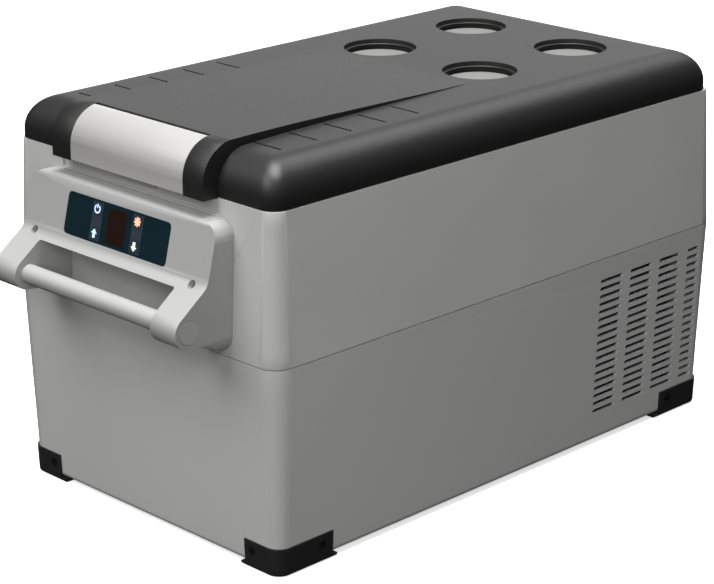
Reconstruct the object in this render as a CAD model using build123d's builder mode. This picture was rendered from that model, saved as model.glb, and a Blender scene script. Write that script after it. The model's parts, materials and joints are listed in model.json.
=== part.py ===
"""Portable 12 V compressor cooler: tapered two-part cabinet, hinged lid with cup recesses,
carry handles at both ends, raked control panel and a machine bay at the rear.

Frame: millimetres, +Z up, the control panel end faces -Y, the length runs along Y.
The origin is on the floor, under the middle of the cabinet.
"""
import math
import os
from typing import NamedTuple

from build123d import *

os.makedirs("parts", exist_ok=True)

# ---------------------------------------------------------------- driving dimensions
WIDTH = 320.0            # cabinet, at the belt line
LENGTH = 540.0           # cabinet, at the belt line
Z_BASE = 3.5             # underside of the cabinet, above the feet pads
Z_BELT = 174.0           # seam between the lower and the upper shell
Z_RIM = 297.0            # top of the cabinet
Z_LID = 332.0            # top of the lid's wings
INSET_BASE = 7.3         # how far each wall leans in from the belt to the base
INSET_RIM = 5.4          # how far each wall leans in from the belt to the rim
CORNER_R = 18.0          # vertical corners at the belt
WALL = 2.5               # shell wall
SEAM = 0.6               # open line between shells

RIM_HALF_W = WIDTH / 2 - INSET_RIM
RIM_HALF_L = LENGTH / 2 - INSET_RIM

# cabin
LINER_WALL = 2.0
CABIN_HALF_W = 124.0
CABIN_FRONT = -232.0
CABIN_STEP = 88.0        # rear wall of the deep part
CABIN_REAR = 232.0
CABIN_FLOOR = 42.0
STEP_FLOOR = 200.0       # floor of the shallow part, over the machine bay
MOUTH_R = 16.0
FLANGE_HALF_W = 141.7
FLANGE_HALF_L = 251.7
FLANGE_T = 3.0

# machine bay
BAY_FRONT = 104.0
BAY_TOP = 190.0
BAY_FLOOR = 8.0

# side vents
VENT_COLUMNS = 4
VENT_ROWS = 18
VENT_PITCH_Y = 40.3
VENT_PITCH_Z = 7.15
VENT_FIRST_Y = 112.0
VENT_TOP_Z = 153.4
VENT_LENGTH = 30.0
VENT_LAST_LENGTH = 17.0
VENT_H = 3.6

# corner feet
FOOT_PROUD = 1.7
FOOT_H = 24.0
FOOT_END_X = 116.0       # inner edge on the end faces
FOOT_SIDE_Y = 206.0      # inner edge on the long faces
FOOT_PAD_REACH = 5.0
FOOT_FIT = 0.15
FOOT_SCREW_Z = 16.0
FOOT_SCREW_X = 124.5
FOOT_SCREW_Y = 217.5
SCREW_HOLE_R = 1.7
SCREW_SHANK_R = 1.65

# carry handles; stand-offs are measured out from the belt line, heights at the front handle
HANDLE_TOP = 283.0
HANDLE_CORNER_R = 14.0
HANDLE_FIT = 0.4         # clearance to the cabinet wall
FACE_TOP_D = 12.0        # stand-off of the raked face at its top
FACE_RAKE = 0.245        # extra stand-off for each millimetre down
FACE_BOTTOM = 232.0      # top of the finger gap
BROW_R = 3.0
KNEE_Z = 237.3           # where the raked face turns out to the grip boss
KNEE_R = 14.0
ARM_WIDTH = 29.0
ARM_HEEL_Z = 178.0       # lowest point of the arms, at the wall
ARM_HEEL_D = 2.5
ARM_ELBOW_Z = 190.7      # underside of the arms, halfway out
ARM_ELBOW_D = 24.4
BOSS_D = 42.5            # stand-off of the grip axis
BOSS_Z = 206.0
BOSS_R = 13.5
GRIP_R = 8.0
ROD_R = 6.0
ROD_SINK = 6.0           # how far the rod's sockets stop short of the arms' outer faces
CAP_R = 9.6
CAP_T = 1.6
SCREW_INSET = 16.0       # fixing screws, in from the sides of the handle
SCREW_Z = 235.5
SCREW_SINK = 6.0
HANDLE_WALL = 3.2
HANDLE_RIB = 8.0


class Handle(NamedTuple):
    """What differs between the two carry handles."""
    end: int             # -1 at the control panel, +1 at the hinges
    half_w: float
    drop: float          # how far it sits below the front one


HANDLES = {
    "front": Handle(-1, 112.0, 0.0),
    "rear": Handle(1, 106.0, 38.0),
}

# control panel
PANEL_W = 124.0
PANEL_H = 34.0
PANEL_T = 1.6
PANEL_R = 3.8
PANEL_Z = 257.5
KEY_X = 24.3
KEY_Y = 9.8
KEY_SIZE = 8.6
KEY_GAP = 0.35
KEY_TRAVEL = 0.6
DIGITS_W = 25.0
DIGITS_H = 27.0

# latch recess in the cabinet and latch on the lid
RECESS_HALF_W = 94.5
RECESS_Y = -262.6
RECESS_BOTTOM = 283.5
RECESS_LIP_Y = -261.4     # the cabinet's top edge is lowered in front of this line
RECESS_LIP_Z = 295.2
TONGUE_FRONT = -277.5
TONGUE_TOP = 338.0
TONGUE_R = 30.0
TONGUE_BOTTOM = 296.0
TONGUE_END = 25.0
LEVER_HALF_W = 67.6
LEVER_T = 3.0
LEVER_GAP = 0.5
PIVOT_Y = -251.6
PIVOT_Z = 334.6
BARREL_R = 3.0
PIN_R = 1.5

# lid
LID_GAP = 0.6
LID_Z0 = Z_RIM + LID_GAP
LID_ROLL = 28.0
LID_CORNER_R = 15.0
LID_WALL = 3.0
CUP_R = 32.2
CUP_DEPTH = 10.0
CUP_WALL = 2.5
CUP_X = 59.6
CUP_Y0 = 122.3
CUP_DY = 59.2
TICKS = 5
TICK_FIRST = -225.0
TICK_PITCH = 37.3
TICK_X = 105.5
TICK_L = 31.0
GROOVE_DEPTH = 5.0

# lid hinge
HINGE_Y = 271.5
HINGE_Z = 299.0
HINGE_X = 80.0
KNUCKLE_R = 5.5
HINGE_PIN_R = 2.0


def save(builder, name):
    """Labels a finished piece and writes it to its own file."""
    builder.part.label = name
    export_step(builder.part, f"parts/{name}.step")


def wall_inset(z):
    """How far the cabinet's outer wall stands in from the belt at height z."""
    if z <= Z_BELT:
        return INSET_BASE * (Z_BELT - z) / (Z_BELT - Z_BASE)
    return INSET_RIM * (z - Z_BELT) / (Z_RIM - Z_BELT)


def cabinet_outline(z, grow=0.0):
    """Draws the cabinet's rounded rectangle at height z, grown outwards."""
    inset = wall_inset(z)
    RectangleRounded(WIDTH - 2 * inset + 2 * grow, LENGTH - 2 * inset + 2 * grow,
                     CORNER_R - inset + grow)


def tapered(z_low, z_high, grow=0.0, mode=Mode.ADD):
    """A block that follows the leaning cabinet walls between two heights."""
    widest, narrowest = sorted((z_low, z_high), key=wall_inset)
    lean = math.atan((wall_inset(narrowest) - wall_inset(widest)) / (z_high - z_low))
    with BuildPart() as block:
        with BuildSketch(Plane.XY.offset(widest)):
            cabinet_outline(widest, grow)
        extrude(amount=narrowest - widest, taper=math.degrees(lean))
    add(block.part, mode=mode)


def box_between(low, high, mode=Mode.ADD):
    """A box given by its two opposite corners."""
    middle = tuple((a + b) / 2 for a, b in zip(low, high))
    with Locations(middle):
        Box(*[b - a for a, b in zip(low, high)], mode=mode)


def rounded_block(x_half, y_low, y_high, z_low, z_high, radius, mode=Mode.ADD):
    """A block with rounded vertical corners."""
    with BuildPart() as block:
        with BuildSketch(Plane.XY.offset(z_low)):
            with Locations((0, (y_low + y_high) / 2)):
                RectangleRounded(2 * x_half, y_high - y_low, radius)
        extrude(amount=z_high - z_low)
    add(block.part, mode=mode)


def cylinder_x(x_low, x_high, y, z, radius, mode=Mode.ADD):
    """A cylinder along X."""
    with BuildPart() as rod:
        with BuildSketch(Plane.YZ.offset(x_low)):
            with Locations((y, z)):
                Circle(radius)
        extrude(amount=x_high - x_low)
    add(rod.part, mode=mode)


def foot_screw_planes(side_x, side_y):
    """Planes on a foot's outer faces, at its two screws, facing outwards."""
    inset = wall_inset(FOOT_SCREW_Z)
    end_face = side_y * (LENGTH / 2 - inset + FOOT_PROUD)
    long_face = side_x * (WIDTH / 2 - inset + FOOT_PROUD)
    return [
        Plane(origin=(side_x * FOOT_SCREW_X, end_face, FOOT_SCREW_Z), z_dir=(0, side_y, 0)),
        Plane(origin=(long_face, side_y * FOOT_SCREW_Y, FOOT_SCREW_Z), z_dir=(side_x, 0, 0)),
    ]


def rear_wall_plane(x, z):
    """Plane on the leaning rear wall below the belt, facing outwards, local y upwards."""
    lean = INSET_BASE / (Z_BELT - Z_BASE)
    return Plane(origin=(x, LENGTH / 2 - wall_inset(z), z), x_dir=(-1, 0, 0), z_dir=(0, 1, -lean))


def face_standoff(z):
    """Stand-off of the front handle's raked face from the belt line at height z."""
    return FACE_TOP_D + FACE_RAKE * (HANDLE_TOP - z)


def face_plane(handle, x, z):
    """Plane on a handle's raked face, facing outwards; z is the height at the front handle."""
    y = handle.end * (LENGTH / 2 + face_standoff(z))
    normal = Vector(0, handle.end, FACE_RAKE).normalized()
    return Plane(origin=(x, y, z - handle.drop), x_dir=(-handle.end, 0, 0), z_dir=normal)


def handle_screw_planes(handle):
    """Planes on the raked face at the two fixing screws."""
    return [face_plane(handle, side * (handle.half_w - SCREW_INSET), SCREW_Z) for side in (-1, 1)]


CORNERS = {
    "front_left": (-1, -1),
    "front_right": (1, -1),
    "rear_left": (-1, 1),
    "rear_right": (1, 1),
}


# ================================================================ cabinet shells
TONGUE_ROOT = 8.0        # the locating tongue starts this far below the belt
TONGUE_STEP = 3.0
TONGUE_RISE = 4.0
TONGUE_T = 2.0
INLET_X = -96.0
FUSE_X = -56.0
FITTINGS_Z = 62.0        # power inlet and fuse, on the rear wall
INLET_W = 33.6
INLET_H = 23.6
INLET_R = 3.8
FUSE_R = 8.8
FITTING_GAP = 0.2


HANDLE_HOLE_REACH = 32.0  # from the raked face through the cabinet wall


def belt_ring(z_low, z_high, outside, inside):
    """A band round the inside of the belt, between two distances in from the belt line."""
    with BuildPart() as band:
        rounded_block(WIDTH / 2 - outside, -LENGTH / 2 + outside, LENGTH / 2 - outside,
                      z_low, z_high, CORNER_R - outside)
        rounded_block(WIDTH / 2 - inside, -LENGTH / 2 + inside, LENGTH / 2 - inside,
                      z_low, z_high, CORNER_R - inside, Mode.SUBTRACT)
    add(band.part)


def vent_slots():
    """The vent field, drawn once on YZ; one cut goes through both long walls."""
    for column in range(VENT_COLUMNS):
        last = column == VENT_COLUMNS - 1
        slot = VENT_LAST_LENGTH if last else VENT_LENGTH
        y = VENT_FIRST_Y + column * VENT_PITCH_Y + slot / 2
        for row in range(VENT_ROWS):
            with Locations((y, VENT_TOP_Z - row * VENT_PITCH_Z)):
                SlotOverall(slot, VENT_H)


with BuildPart() as lower_shell:
    tapered(Z_BASE, Z_BELT - SEAM / 2)
    fillet(lower_shell.faces().sort_by(Axis.Z)[0].edges(), 5)
    tapered(Z_BASE + WALL, Z_BELT - SEAM / 2, -WALL, Mode.SUBTRACT)
    # the tongue that locates the upper shell, rooted in the wall and standing just inside it
    belt_ring(Z_BELT - TONGUE_ROOT, Z_BELT - TONGUE_STEP, WALL - 0.8, WALL + TONGUE_T)
    belt_ring(Z_BELT - TONGUE_STEP, Z_BELT + TONGUE_RISE, WALL + 0.4, WALL + TONGUE_T)
    for side in (-1, 1):
        with BuildSketch(Plane.YZ.offset(side * (WIDTH / 2 - 12))):
            vent_slots()
        extrude(amount=side * 20, mode=Mode.SUBTRACT)
    for side_x, side_y in CORNERS.values():
        for plane in foot_screw_planes(side_x, side_y):
            with BuildSketch(plane):
                Circle(SCREW_HOLE_R)
            extrude(amount=-FOOT_PROUD - WALL - 1, mode=Mode.SUBTRACT)
    # rear openings for the power inlet and the fuse
    with BuildSketch(rear_wall_plane(INLET_X, FITTINGS_Z)):
        RectangleRounded(INLET_W + 2 * FITTING_GAP, INLET_H + 2 * FITTING_GAP, INLET_R + FITTING_GAP)
    extrude(amount=2 * WALL, both=True, mode=Mode.SUBTRACT)
    with BuildSketch(rear_wall_plane(FUSE_X, FITTINGS_Z)):
        Circle(FUSE_R + FITTING_GAP)
    extrude(amount=2 * WALL, both=True, mode=Mode.SUBTRACT)
save(lower_shell, "lower_shell")

with BuildPart() as upper_shell:
    tapered(Z_BELT + SEAM / 2, Z_RIM)
    tapered(Z_BELT + SEAM / 2, Z_RIM - FLANGE_T, -WALL, Mode.SUBTRACT)
    rounded_block(FLANGE_HALF_W + 0.3, -FLANGE_HALF_L - 0.3, FLANGE_HALF_L + 0.3,
                  Z_RIM - FLANGE_T - 1, Z_RIM + 1, MOUTH_R, Mode.SUBTRACT)
    # the recess under the latch, with its own floor and ledge
    box_between((-RECESS_HALF_W - WALL, RECESS_Y - 1.9, RECESS_BOTTOM - WALL),
                (RECESS_HALF_W + WALL, RECESS_Y + WALL, Z_RIM))
    box_between((-RECESS_HALF_W, RECESS_Y - 40, RECESS_BOTTOM),
                (RECESS_HALF_W, RECESS_Y, Z_RIM + 5), Mode.SUBTRACT)
    box_between((-RECESS_HALF_W, RECESS_Y - 40, RECESS_LIP_Z),
                (RECESS_HALF_W, RECESS_LIP_Y, Z_RIM + 5), Mode.SUBTRACT)
    for handle in HANDLES.values():
        for plane in handle_screw_planes(handle):
            with BuildSketch(plane):
                Circle(SCREW_HOLE_R)
            extrude(amount=-HANDLE_HOLE_REACH, mode=Mode.SUBTRACT)
save(upper_shell, "upper_shell")

with BuildPart() as liner:
    rounded_block(CABIN_HALF_W + LINER_WALL, CABIN_FRONT - LINER_WALL, CABIN_STEP + LINER_WALL,
                  CABIN_FLOOR - LINER_WALL, Z_RIM, MOUTH_R + LINER_WALL)
    rounded_block(CABIN_HALF_W + LINER_WALL, CABIN_STEP - 40, CABIN_REAR + LINER_WALL,
                  STEP_FLOOR - LINER_WALL, Z_RIM, MOUTH_R + LINER_WALL)
    rounded_block(FLANGE_HALF_W, -FLANGE_HALF_L, FLANGE_HALF_L, Z_RIM - FLANGE_T, Z_RIM, MOUTH_R)
    rounded_block(CABIN_HALF_W, CABIN_FRONT, CABIN_STEP, CABIN_FLOOR, Z_RIM + 1, MOUTH_R,
                  Mode.SUBTRACT)
    rounded_block(CABIN_HALF_W, CABIN_FRONT, CABIN_REAR, STEP_FLOOR, Z_RIM + 1, MOUTH_R,
                  Mode.SUBTRACT)
save(liner, "liner")

EVAP_GAP = 0.3
EVAP_T = 1.5
EVAP_LOW = 70.0
EVAP_HIGH = 185.0


def evaporator_ring(clear):
    """The plate evaporator wrapped round the deep part of the liner."""
    inner = LINER_WALL + EVAP_GAP - clear
    outer = LINER_WALL + EVAP_GAP + EVAP_T + clear
    rounded_block(CABIN_HALF_W + outer, CABIN_FRONT - outer, CABIN_STEP + outer,
                  EVAP_LOW - clear, EVAP_HIGH + clear, MOUTH_R + outer)
    rounded_block(CABIN_HALF_W + inner, CABIN_FRONT - inner, CABIN_STEP + inner,
                  EVAP_LOW - clear - 1, EVAP_HIGH + clear + 1, MOUTH_R + inner, Mode.SUBTRACT)


with BuildPart() as evaporator:
    evaporator_ring(0)
save(evaporator, "evaporator")

FOAM_FIT = 0.2

with BuildPart() as foam_void:
    rounded_block(CABIN_HALF_W + LINER_WALL + FOAM_FIT, CABIN_FRONT - LINER_WALL - FOAM_FIT,
                  CABIN_STEP + LINER_WALL + FOAM_FIT, CABIN_FLOOR - LINER_WALL - FOAM_FIT,
                  Z_RIM, MOUTH_R + LINER_WALL)
    rounded_block(CABIN_HALF_W + 4, CABIN_FRONT - 4, CABIN_STEP + 4, EVAP_LOW - 1,
                  EVAP_HIGH + 1, MOUTH_R + 4)
    rounded_block(CABIN_HALF_W + LINER_WALL + FOAM_FIT, CABIN_STEP - 40,
                  CABIN_REAR + LINER_WALL + FOAM_FIT, STEP_FLOOR - LINER_WALL - FOAM_FIT,
                  Z_RIM, MOUTH_R + LINER_WALL)
    box_between((-WIDTH, BAY_FRONT - 3, -10), (WIDTH, LENGTH, BAY_TOP + 3))
    box_between((-RECESS_HALF_W - WALL - 1, -LENGTH, RECESS_BOTTOM - WALL - 1),
                (RECESS_HALF_W + WALL + 1, RECESS_Y + WALL + 1, Z_RIM + 5))

with BuildPart() as insulation:
    tapered(Z_BASE + WALL + FOAM_FIT, Z_BELT - TONGUE_ROOT - FOAM_FIT, -WALL - FOAM_FIT)
    tapered(Z_BELT - TONGUE_ROOT - 0.7, Z_BELT + TONGUE_RISE + 2, -WALL - TONGUE_T - FOAM_FIT)
    tapered(Z_BELT + TONGUE_RISE + 1.5, Z_RIM - FLANGE_T - FOAM_FIT, -WALL - FOAM_FIT)
    add(foam_void.part, mode=Mode.SUBTRACT)
save(insulation, "insulation")

BULKHEAD_HALF_W = 148.0
BULKHEAD_REAR = 258.0
BULKHEAD_FAR = 2.6       # sheet's faces, out from the bay's own front and top
BULKHEAD_NEAR = 1.2
with BuildPart() as bay_bulkhead:
    box_between((-BULKHEAD_HALF_W, BAY_FRONT - BULKHEAD_FAR, BAY_FLOOR),
                (BULKHEAD_HALF_W, BAY_FRONT - BULKHEAD_NEAR, BAY_TOP + BULKHEAD_FAR))
    box_between((-BULKHEAD_HALF_W, BAY_FRONT - BULKHEAD_FAR, BAY_TOP + BULKHEAD_NEAR),
                (BULKHEAD_HALF_W, BULKHEAD_REAR, BAY_TOP + BULKHEAD_FAR))
save(bay_bulkhead, "bay_bulkhead")

BASE_HALF_W = 128.0
BASE_FRONT = 114.0
BASE_REAR = 252.0
with BuildPart() as machine_base:
    box_between((-BASE_HALF_W, BASE_FRONT, Z_BASE + WALL + 0.1), (BASE_HALF_W, BASE_REAR, BAY_FLOOR))
save(machine_base, "machine_base")


# ================================================================ corner feet
SCREW_SEAT_R = 3.6


def corner_region(side_x, side_y):
    """The space one shoe may fill: a tall corner block over a slightly longer pad."""
    with BuildPart() as region:
        for reach, top in ((FOOT_PAD_REACH, Z_BASE - FOOT_FIT), (0, FOOT_H + 2)):
            low, high = ordered(side_x * (FOOT_END_X - reach), side_y * (FOOT_SIDE_Y - reach), -1,
                                side_x * WIDTH, side_y * LENGTH, top)
            box_between(low, high)
    return region.part


def corner_foot(side_x, side_y):
    """A corner shoe: an L-shaped wall round the corner and a pad under the cabinet."""
    with BuildPart() as foot:
        tapered(0, FOOT_H, FOOT_PROUD)
        fillet(foot.faces().sort_by(Axis.Z)[0].edges(), 3)
        tapered(Z_BASE - FOOT_FIT, FOOT_H + 1, FOOT_FIT, Mode.SUBTRACT)
        add(corner_region(side_x, side_y), mode=Mode.INTERSECT)
        for plane in foot_screw_planes(side_x, side_y):
            with BuildSketch(plane.offset(-0.6)):
                Circle(SCREW_SEAT_R)
            extrude(amount=2 * FOOT_PROUD, mode=Mode.SUBTRACT)
            with BuildSketch(plane):
                Circle(SCREW_HOLE_R)
            extrude(amount=-3 * FOOT_PROUD, mode=Mode.SUBTRACT)
    return foot


def ordered(x1, y1, z1, x2, y2, z2):
    """Low and high corners from any two opposite corners."""
    low = (min(x1, x2), min(y1, y2), min(z1, z2))
    high = (max(x1, x2), max(y1, y2), max(z1, z2))
    return low, high


for corner, (side_x, side_y) in CORNERS.items():
    save(corner_foot(side_x, side_y), f"foot_{corner}")


def screw_at(plane, head_r, head_h, shank_r, shank_l):
    """A pan-head screw whose head stands on the plane, with a cross recess."""
    with BuildPart() as screw:
        with BuildSketch(plane):
            Circle(head_r)
        extrude(amount=head_h)
        with BuildSketch(plane):
            Circle(shank_r)
        extrude(amount=-shank_l)
        with BuildSketch(plane.offset(head_h)):
            Rectangle(head_r * 1.2, head_r * 0.3)
            Rectangle(head_r * 0.3, head_r * 1.2)
        extrude(amount=-head_h * 0.5, mode=Mode.SUBTRACT)
    add(screw.part)


with BuildPart() as foot_screws:
    for side_x, side_y in CORNERS.values():
        for plane in foot_screw_planes(side_x, side_y):
            screw_at(plane.offset(-0.6), 3.2, 1.0, SCREW_SHANK_R, FOOT_PROUD + WALL - 0.6)
save(foot_screws, "foot_screws")


# ================================================================ carry handles
def handle_outline(handle):
    """Side profile of a handle frame."""
    def at(standoff, z):
        return (handle.end * (LENGTH / 2 + standoff), z - handle.drop)

    def on_boss(degrees):
        angle = math.radians(degrees)
        return at(BOSS_D + BOSS_R * math.cos(angle), BOSS_Z + BOSS_R * math.sin(angle))

    top_z = HANDLE_TOP - handle.drop
    heel_z = ARM_HEEL_Z - handle.drop
    back = [(heel_z, HANDLE_FIT - wall_inset(heel_z)), (top_z, HANDLE_FIT - wall_inset(top_z))]
    if heel_z < Z_BELT:
        back.insert(1, (Z_BELT, HANDLE_FIT))
    back_points = [(handle.end * (LENGTH / 2 + standoff), z) for z, standoff in back]
    knee = at(face_standoff(KNEE_Z), KNEE_Z)
    brow = at(FACE_TOP_D, HANDLE_TOP)
    with BuildSketch() as outline:
        with BuildLine():
            Polyline(on_boss(-96), at(ARM_ELBOW_D, ARM_ELBOW_Z), at(ARM_HEEL_D, ARM_HEEL_Z),
                     *back_points, brow, knee, on_boss(50))
            ThreePointArc(on_boss(50), on_boss(0), on_boss(-96))
        make_face()
        fillet(outline.vertices().sort_by_distance((*knee, 0))[0], KNEE_R)
        fillet(outline.vertices().sort_by_distance((*brow, 0))[0], BROW_R)
    return outline.sketch


def plate_hollow(handle):
    """Side profile of the hollow behind the raked plate."""
    def at(standoff, z):
        return (handle.end * (LENGTH / 2 + standoff), z - handle.drop)

    low, high = FACE_BOTTOM + 10, HANDLE_TOP - 6
    with BuildSketch() as hollow:
        with BuildLine():
            Polyline(at(-12, low), at(-12, high), at(face_standoff(high) - HANDLE_WALL, high),
                     at(face_standoff(low) - HANDLE_WALL, low), close=True)
        make_face()
    return hollow.sketch


def arm_hollow(handle):
    """Side profile of the hollow inside an arm, between the wall and the grip boss."""
    def at(standoff, z):
        return (handle.end * (LENGTH / 2 + standoff), z - handle.drop)

    low, high = ARM_HEEL_Z + 8, FACE_BOTTOM - 4
    boss_side = BOSS_D - BOSS_R - 2
    with BuildSketch() as hollow:
        with BuildLine():
            Polyline(at(-12, low), at(-12, high), at(boss_side - 7, high), at(boss_side, BOSS_Z + 8),
                     at(boss_side - 3, BOSS_Z - 10), at(boss_side - 17, low), close=True)
        make_face()
    return hollow.sketch


def handle_frame(handle):
    """Plate, side arms and grip bosses in one moulding, hollow from the back."""
    arm_inner = handle.half_w - ARM_WIDTH
    top_z = HANDLE_TOP - handle.drop
    heel_z = ARM_HEEL_Z - handle.drop
    y_grip = handle.end * (LENGTH / 2 + BOSS_D)
    with BuildPart() as frame:
        with BuildSketch(Plane.YZ):
            add(handle_outline(handle))
        extrude(amount=handle.half_w, both=True)
        with BuildSketch(Plane.XZ) as front_view:
            with Locations((0, (top_z + heel_z) / 2)):
                Rectangle(2 * handle.half_w, top_z - heel_z)
            fillet(front_view.vertices().group_by(Axis.Z)[-1], HANDLE_CORNER_R)
        extrude(amount=LENGTH, both=True, mode=Mode.INTERSECT)
        # finger gap behind and above the grip
        with BuildSketch(Plane.XZ) as window:
            with Locations((0, FACE_BOTTOM - handle.drop - 60)):
                Rectangle(2 * arm_inner, 120)
            fillet(window.vertices().group_by(Axis.Z)[-1], 2)
        extrude(amount=LENGTH, both=True, mode=Mode.SUBTRACT)
        with BuildSketch(Plane.YZ):
            add(plate_hollow(handle))
        extrude(amount=handle.half_w - HANDLE_RIB, both=True, mode=Mode.SUBTRACT)
        for side in (-1, 1):
            with BuildSketch(Plane.YZ.offset(side * (arm_inner + HANDLE_WALL))):
                add(arm_hollow(handle))
            extrude(amount=side * (ARM_WIDTH - 2 * HANDLE_WALL), mode=Mode.SUBTRACT)
            # grip rod hole and end cap seat
            low, high = sorted((side * (arm_inner - 1), side * (handle.half_w - ROD_SINK)))
            cylinder_x(low, high, y_grip, BOSS_Z - handle.drop, ROD_R, Mode.SUBTRACT)
            low, high = sorted((side * (handle.half_w - CAP_T), side * (handle.half_w + 1)))
            cylinder_x(low, high, y_grip, BOSS_Z - handle.drop, CAP_R, Mode.SUBTRACT)
        # fixing screw holes in the raked face
        for seat in handle_screw_planes(handle):
            with BuildSketch(seat.offset(-SCREW_SINK)):
                Circle(SCREW_SEAT_R)
            extrude(amount=SCREW_SINK + 4, mode=Mode.SUBTRACT)
            with BuildSketch(seat):
                Circle(SCREW_HOLE_R)
            extrude(amount=-HANDLE_HOLE_REACH, mode=Mode.SUBTRACT)
    return frame


PANEL_PLANE = face_plane(HANDLES["front"], 0, PANEL_Z)
KEYS = {
    "power": (-KEY_X, KEY_Y),
    "set": (KEY_X, KEY_Y),
    "up": (-KEY_X, -KEY_Y),
    "down": (KEY_X, -KEY_Y),
}
PANEL_SEAT = 1.4
KEY_FOOT = 4.4           # underside of a key, below the raked face
KEY_STEM_R = 1.6
BOARD_TOP = 7.4          # upper face of the circuit board, below the raked face
BOARD_T = 1.5
BOARD_W = 92.0
BOARD_H = 27.0
BOARD_RISE = 1.8

with BuildPart() as front_handle_frame:
    add(handle_frame(HANDLES["front"]).part)
    with BuildSketch(PANEL_PLANE.offset(-PANEL_SEAT)):
        RectangleRounded(PANEL_W + 0.4, PANEL_H + 0.4, PANEL_R + 0.2)
    extrude(amount=PANEL_SEAT + 8, mode=Mode.SUBTRACT)
    with BuildSketch(PANEL_PLANE):
        RectangleRounded(DIGITS_W, DIGITS_H, 1)
        with Locations(*KEYS.values()):
            Rectangle(KEY_SIZE + 3, KEY_SIZE + 3)
    extrude(amount=-6, mode=Mode.SUBTRACT)
save(front_handle_frame, "front_handle_frame")

rear_handle_frame = handle_frame(HANDLES["rear"])
save(rear_handle_frame, "rear_handle_frame")

for end_name, handle in HANDLES.items():
    y_grip = handle.end * (LENGTH / 2 + BOSS_D)
    sleeve_half = handle.half_w - ARM_WIDTH
    with BuildPart() as grip:
        cylinder_x(-sleeve_half, sleeve_half, y_grip, BOSS_Z - handle.drop, GRIP_R)
        cylinder_x(-sleeve_half, sleeve_half, y_grip, BOSS_Z - handle.drop, ROD_R, Mode.SUBTRACT)
        chamfer(grip.edges().filter_by(GeomType.CIRCLE).group_by(SortBy.LENGTH)[-1], 0.5)
    save(grip, f"{end_name}_grip_sleeve")

with BuildPart() as grip_rods:
    for handle in HANDLES.values():
        rod_half = handle.half_w - ROD_SINK - 2
        y_grip = handle.end * (LENGTH / 2 + BOSS_D)
        cylinder_x(-rod_half, rod_half, y_grip, BOSS_Z - handle.drop, ROD_R)
save(grip_rods, "grip_rods")

with BuildPart() as grip_caps:
    for handle in HANDLES.values():
        y_grip = handle.end * (LENGTH / 2 + BOSS_D)
        for side in (-1, 1):
            low, high = sorted((side * (handle.half_w - CAP_T), side * (handle.half_w + 0.2)))
            cylinder_x(low, high, y_grip, BOSS_Z - handle.drop, CAP_R - 0.25)
save(grip_caps, "grip_caps")


def screw_reach(handle):
    """Length of a handle screw's shank, from its sunk seat to inside the cabinet wall."""
    upright = 1 / math.hypot(1, FACE_RAKE)
    seat_standoff = face_standoff(SCREW_Z) - SCREW_SINK * upright
    return (seat_standoff + wall_inset(SCREW_Z - handle.drop) + 0.5 * WALL) / upright


with BuildPart() as handle_screws:
    for handle in HANDLES.values():
        for seat in handle_screw_planes(handle):
            screw_at(seat.offset(-SCREW_SINK), 3.3, 2.0, SCREW_SHANK_R, screw_reach(handle))
save(handle_screws, "handle_screws")

# ================================================================ control panel
with BuildPart() as panel_window:
    with BuildSketch(PANEL_PLANE.offset(-PANEL_SEAT)):
        RectangleRounded(PANEL_W, PANEL_H, PANEL_R)
    extrude(amount=PANEL_T)
    with BuildSketch(PANEL_PLANE.offset(-PANEL_SEAT)):
        with Locations(*KEYS.values()):
            Rectangle(KEY_SIZE + 2 * KEY_GAP, KEY_SIZE + 2 * KEY_GAP)
    extrude(amount=PANEL_T, mode=Mode.SUBTRACT)
save(panel_window, "panel_window")

for key_name, (key_x, key_y) in KEYS.items():
    with BuildPart() as key:
        with BuildSketch(PANEL_PLANE.offset(-KEY_FOOT)):
            with Locations((key_x, key_y)):
                Rectangle(KEY_SIZE, KEY_SIZE)
        extrude(amount=KEY_FOOT + KEY_TRAVEL + 0.3)
        fillet(key.faces().sort_by(Axis((0, 0, 0), PANEL_PLANE.z_dir))[-1].edges(), 0.4)
        with BuildSketch(PANEL_PLANE.offset(-BOARD_TOP + KEY_TRAVEL + 0.3)):
            with Locations((key_x, key_y)):
                Circle(KEY_STEM_R)
        extrude(amount=BOARD_TOP - KEY_TRAVEL - 0.3 - KEY_FOOT)
    save(key, f"key_{key_name}")

with BuildPart() as digit_module:
    with BuildSketch(PANEL_PLANE.offset(-BOARD_TOP)):
        Rectangle(DIGITS_W - 1, DIGITS_H - 1)
    extrude(amount=BOARD_TOP - PANEL_SEAT - 0.1)
save(digit_module, "digit_module")

with BuildPart() as control_board:
    with BuildSketch(PANEL_PLANE.offset(-BOARD_TOP - BOARD_T - 0.1)):
        with Locations((0, BOARD_RISE)):
            Rectangle(BOARD_W, BOARD_H)
    extrude(amount=BOARD_T)
save(control_board, "control_board")


# ================================================================ machine bay
COMP_X = -74.0
COMP_Y = 184.0
COMP_R = 54.0
COMP_Z0 = 18.0
COMP_SPLIT = 84.0
COMP_TOP = 146.0
COMP_LIP = 2.5
FRAME_SIZE = 104.0
FRAME_T = 2.1
BOLT_PITCH = 88.0

with BuildPart() as compressor_lower:
    with BuildSketch(Plane.XY.offset(COMP_Z0)):
        with Locations((COMP_X, COMP_Y)):
            Circle(COMP_R)
    extrude(amount=COMP_SPLIT - COMP_Z0)
    fillet(compressor_lower.faces().sort_by(Axis.Z)[0].edges(), 18)
save(compressor_lower, "compressor_lower")

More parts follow.
